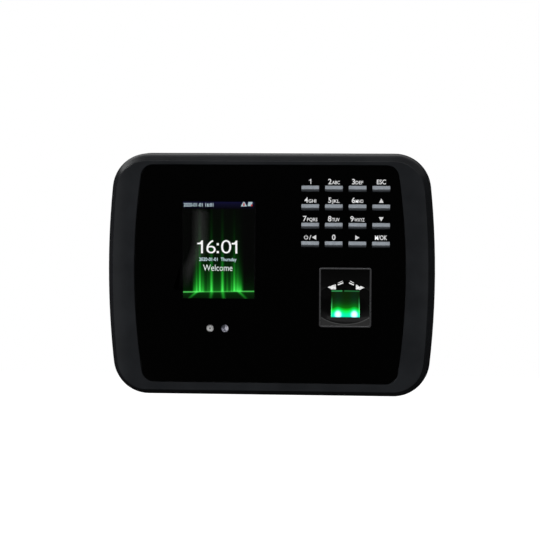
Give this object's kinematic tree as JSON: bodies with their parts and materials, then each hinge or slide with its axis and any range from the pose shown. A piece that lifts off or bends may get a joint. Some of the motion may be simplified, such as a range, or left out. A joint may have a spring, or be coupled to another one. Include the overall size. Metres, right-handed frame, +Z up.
{
  "type": "fingerprint scanner terminal",
  "caption": "Wide wall-mounted access terminal with a lit display, two lenses, a bar-key keypad and a fingerprint window behind black acrylic.",
  "frame": {"origin": "centre of the wall plate's back face, on the wall", "axes": "+Z up, +X to the user's right, +Y into the wall; the user stands on the -Y side"},
  "size_m": [0.197, 0.0408, 0.1456],
  "materials": {
    "bezel_black": "satin, fine moulded grain",
    "rear_black": "matt, spark-eroded grain",
    "smoked_acrylic": "polished clear acrylic",
    "mask_black": "black film",
    "adhesive": "tape",
    "display_glass": "lit liquid-crystal display",
    "white_plastic": "moulded",
    "pressed_steel": "bright tin plate",
    "flex_film": "polyimide film",
    "circuit_board": "green solder mask",
    "black_plastic": "moulded",
    "lens_glass": "coated lens",
    "lamp_resin": "clear epoxy",
    "silicone": "silicone",
    "gloss_black": "polished",
    "prism_glass": "clear block, lit green",
    "key_silver": "silver paint",
    "screw_steel": "zinc plate",
    "zinc_steel": "zinc-plated sheet",
    "label_film": "blank silver film"
  },
  "bodies": {
    "wall_plate": {"wall_plate": "zinc_steel"},
    "terminal": {"front_housing": "bezel_black", "rear_housing": "rear_black", "front_window": "smoked_acrylic", "window_mask": "mask_black", "window_adhesive": "adhesive", "display_panel": "display_glass", "display_backlight": "white_plastic", "display_bracket": "pressed_steel", "display_flex": "flex_film", "camera_board": "circuit_board", "camera_barrels": "black_plastic", "camera_lenses": "lens_glass", "infrared_lamps": "lamp_resin", "lamp_boards": "circuit_board", "keypad_membrane": "silicone", "keypad_board": "circuit_board", "keypad_flex": "flex_film", "sensor_bezel": "gloss_black", "sensor_prism": "prism_glass", "sensor_housing": "black_plastic", "sensor_board": "circuit_board", "sensor_lens": "black_plastic", "sensor_lamps": "lamp_resin", "main_board": "circuit_board", "main_chips": "black_plastic", "processor_shield": "pressed_steel", "coin_cell": "pressed_steel", "cell_holder": "black_plastic", "network_jack": "black_plastic", "usb_jack": "pressed_steel", "wiring_headers": "white_plastic", "module_cables": "flex_film", "board_sockets": "white_plastic", "tamper_switch": "black_plastic", "reset_switch": "black_plastic", "speaker": "black_plastic", "case_screws": "screw_steel", "board_screws": "screw_steel", "small_screws": "screw_steel", "rating_label": "label_film"},
    "security_screw": {"security_screw": "screw_steel"},
    "tamper_plunger": {"tamper_plunger": "white_plastic"},
    "reset_button": {"reset_button": "white_plastic"},
    "key_1": {"key_1": "key_silver"},
    "key_2": {"key_2": "key_silver"},
    "key_3": {"key_3": "key_silver"},
    "key_esc": {"key_esc": "key_silver"},
    "key_4": {"key_4": "key_silver"},
    "key_5": {"key_5": "key_silver"},
    "key_6": {"key_6": "key_silver"},
    "key_up": {"key_up": "key_silver"},
    "key_7": {"key_7": "key_silver"},
    "key_8": {"key_8": "key_silver"},
    "key_9": {"key_9": "key_silver"},
    "key_down": {"key_down": "key_silver"},
    "key_power": {"key_power": "key_silver"},
    "key_0": {"key_0": "key_silver"},
    "key_right": {"key_right": "key_silver"},
    "key_menu": {"key_menu": "key_silver"}
  },
  "joints": [
    {"name": "terminal_lift", "type": "slide", "parent": "wall_plate", "child": "terminal", "axis": [0, 0, 1], "range_m": [0, 0.008]},
    {"name": "security_screw_out", "type": "slide", "parent": "wall_plate", "child": "security_screw", "axis": [0, 0, -1], "range_m": [0, 0.008]},
    {"name": "tamper_press", "type": "slide", "parent": "terminal", "child": "tamper_plunger", "axis": [0, -1, 0], "range_m": [0, 0.0012], "stiffness_N_per_m": 300},
    {"name": "reset_press", "type": "slide", "parent": "terminal", "child": "reset_button", "axis": [0, -1, 0], "range_m": [0, 0.0003], "stiffness_N_per_m": 2000},
    {"name": "key_1_press", "type": "slide", "parent": "terminal", "child": "key_1", "axis": [0, 1, 0], "range_m": [0, 0.0008], "stiffness_N_per_m": 1500},
    {"name": "key_2_press", "type": "slide", "parent": "terminal", "child": "key_2", "axis": [0, 1, 0], "range_m": [0, 0.0008], "stiffness_N_per_m": 1500},
    {"name": "key_3_press", "type": "slide", "parent": "terminal", "child": "key_3", "axis": [0, 1, 0], "range_m": [0, 0.0008], "stiffness_N_per_m": 1500},
    {"name": "key_esc_press", "type": "slide", "parent": "terminal", "child": "key_esc", "axis": [0, 1, 0], "range_m": [0, 0.0008], "stiffness_N_per_m": 1500},
    {"name": "key_4_press", "type": "slide", "parent": "terminal", "child": "key_4", "axis": [0, 1, 0], "range_m": [0, 0.0008], "stiffness_N_per_m": 1500},
    {"name": "key_5_press", "type": "slide", "parent": "terminal", "child": "key_5", "axis": [0, 1, 0], "range_m": [0, 0.0008], "stiffness_N_per_m": 1500},
    {"name": "key_6_press", "type": "slide", "parent": "terminal", "child": "key_6", "axis": [0, 1, 0], "range_m": [0, 0.0008], "stiffness_N_per_m": 1500},
    {"name": "key_up_press", "type": "slide", "parent": "terminal", "child": "key_up", "axis": [0, 1, 0], "range_m": [0, 0.0008], "stiffness_N_per_m": 1500},
    {"name": "key_7_press", "type": "slide", "parent": "terminal", "child": "key_7", "axis": [0, 1, 0], "range_m": [0, 0.0008], "stiffness_N_per_m": 1500},
    {"name": "key_8_press", "type": "slide", "parent": "terminal", "child": "key_8", "axis": [0, 1, 0], "range_m": [0, 0.0008], "stiffness_N_per_m": 1500},
    {"name": "key_9_press", "type": "slide", "parent": "terminal", "child": "key_9", "axis": [0, 1, 0], "range_m": [0, 0.0008], "stiffness_N_per_m": 1500},
    {"name": "key_down_press", "type": "slide", "parent": "terminal", "child": "key_down", "axis": [0, 1, 0], "range_m": [0, 0.0008], "stiffness_N_per_m": 1500},
    {"name": "key_power_press", "type": "slide", "parent": "terminal", "child": "key_power", "axis": [0, 1, 0], "range_m": [0, 0.0008], "stiffness_N_per_m": 1500},
    {"name": "key_0_press", "type": "slide", "parent": "terminal", "child": "key_0", "axis": [0, 1, 0], "range_m": [0, 0.0008], "stiffness_N_per_m": 1500},
    {"name": "key_right_press", "type": "slide", "parent": "terminal", "child": "key_right", "axis": [0, 1, 0], "range_m": [0, 0.0008], "stiffness_N_per_m": 1500},
    {"name": "key_menu_press", "type": "slide", "parent": "terminal", "child": "key_menu", "axis": [0, 1, 0], "range_m": [0, 0.0008], "stiffness_N_per_m": 1500}
  ]
}
